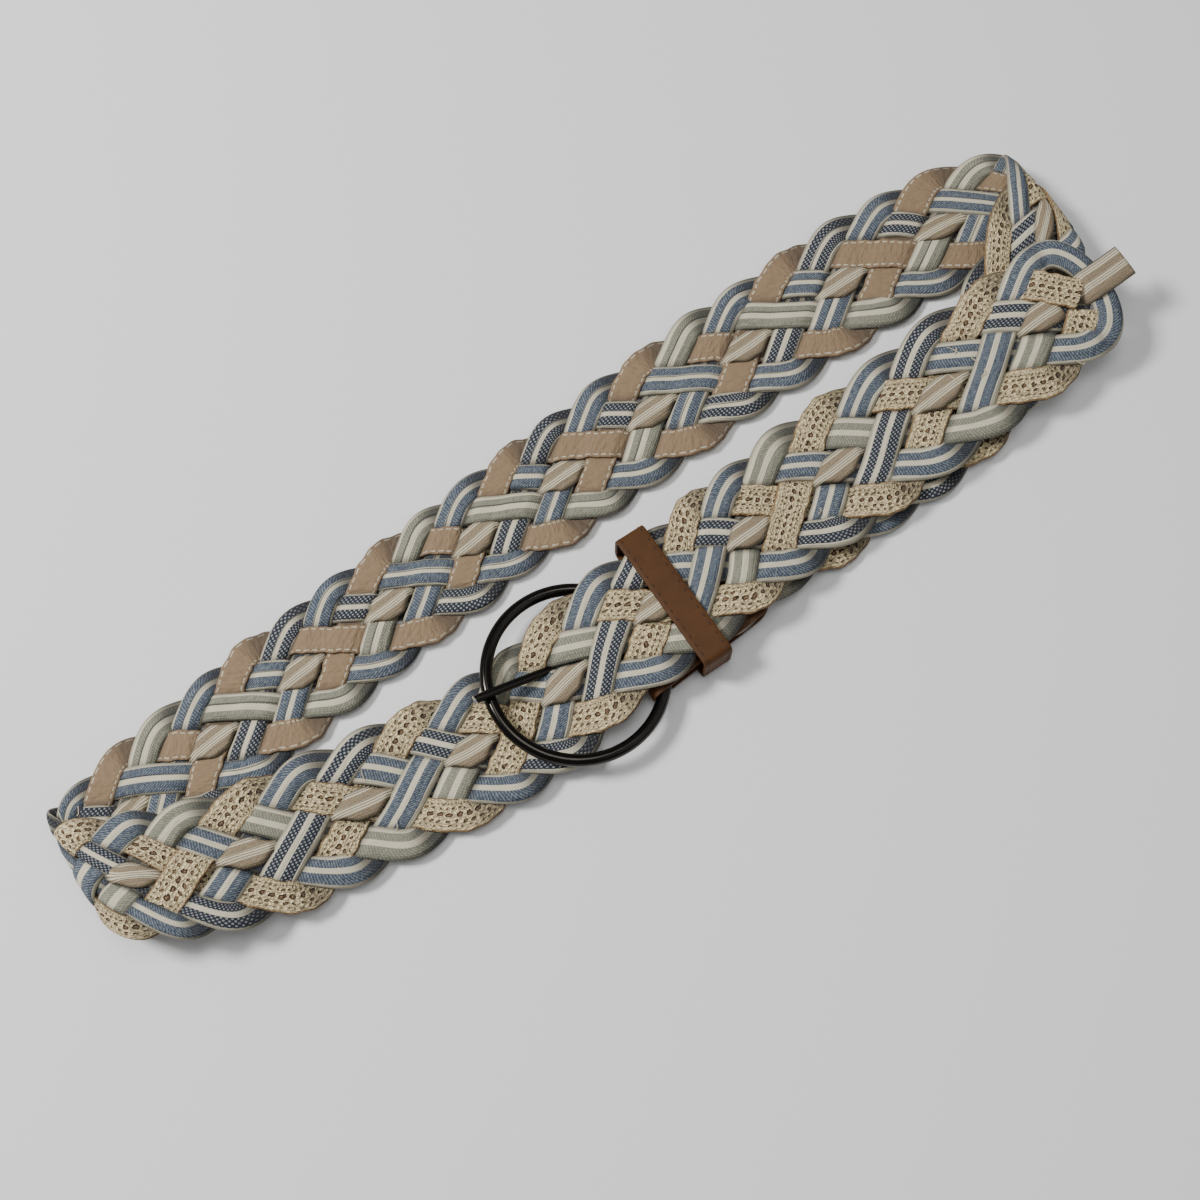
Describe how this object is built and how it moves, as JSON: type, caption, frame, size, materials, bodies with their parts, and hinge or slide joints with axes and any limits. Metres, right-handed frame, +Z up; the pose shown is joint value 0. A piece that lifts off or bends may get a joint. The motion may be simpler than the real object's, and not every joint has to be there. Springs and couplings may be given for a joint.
{
  "type": "braided ribbon belt",
  "caption": "Wide belt braided from soft striped ribbons and crochet lace, lying as a flattened loop, fastened by a round ring buckle with a leather tab and keeper.",
  "frame": {"origin": "middle of the lying belt's box, on the surface it lies on", "axes": "+Z up, +X along the belt to its tail, +Y across to the far side of the loop"},
  "size_m": [0.4642, 0.1402, 0.0252],
  "materials": {
    "navy_weave": "matte",
    "crochet_lace": "matte",
    "blue_chambray": "matte",
    "grey_green_heather": "matte",
    "taupe_ribbon": "matte",
    "gunmetal": "polished",
    "brown_leather": "satin"
  },
  "bodies": {
    "root": {"strand_navy": "navy_weave", "strand_lace_first": "crochet_lace", "strand_blue_first": "blue_chambray", "strand_grey_green": "grey_green_heather", "strand_lace_second": "crochet_lace", "strand_blue_second": "blue_chambray", "strand_taupe_core": "taupe_ribbon", "buckle_ring": "gunmetal", "buckle_prong": "gunmetal", "leather_tab": "brown_leather", "keeper_loop": "brown_leather"}
  },
  "joints": []
}
